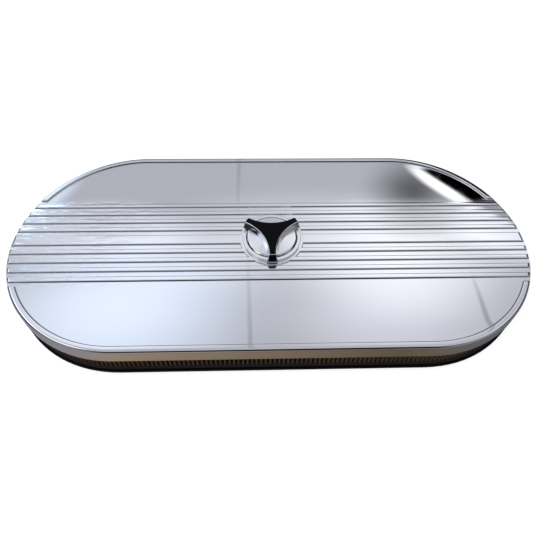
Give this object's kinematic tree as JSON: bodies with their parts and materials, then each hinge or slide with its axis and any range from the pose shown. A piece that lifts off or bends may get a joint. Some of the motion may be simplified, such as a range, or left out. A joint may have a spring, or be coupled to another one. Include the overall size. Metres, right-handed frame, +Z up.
{
  "type": "carburetor air cleaner",
  "caption": "Low oval air cleaner: plated lid with a raised rim and a lengthwise ribbed band, pleated paper element, black pressed pan with a round neck, and a three-bar nut on a stud.",
  "frame": {"origin": "centre of the underside of the neck gasket, on which the part stands", "axes": "+X along the long side of the oval, +Y across it to the rear, +Z up through the neck, the stud and the nut"},
  "size_m": [0.381, 0.1778, 0.0422],
  "materials": {
    "plated_lid": "bright chrome plate over a cast lid",
    "plated_nut": "bright chrome plate over a die casting",
    "steel": "zinc plated",
    "black_pan": "satin black enamel",
    "seal_rubber": "moulded, matt",
    "filter_paper": "resin-treated filter paper"
  },
  "bodies": {
    "housing": {"base_pan": "black_pan", "neck_gasket": "seal_rubber", "filter_bottom_seal": "seal_rubber", "filter_top_seal": "seal_rubber", "filter_pleats": "filter_paper", "filter_inner_screen": "steel", "lid": "plated_lid", "center_stud": "steel"},
    "disc": {"nut_disc": "plated_nut", "nut_washer": "seal_rubber"},
    "nut": {"wing_nut": "plated_nut", "nut_insert": "steel"}
  },
  "joints": [
    {"name": "nut_climb", "type": "slide", "parent": "housing", "child": "disc", "axis": [0, 0, 1], "range_m": [0, 0.00636]},
    {"name": "nut_turn", "type": "hinge", "parent": "disc", "child": "nut", "pos_m": [0, 0, 0.0352], "axis": [0, 0, 1], "range_deg": [0, 1800]}
  ],
  "couplings": [
    {"joint": "nut_climb", "follows": "nut_turn", "m_per_rad": 0.00020213}
  ]
}
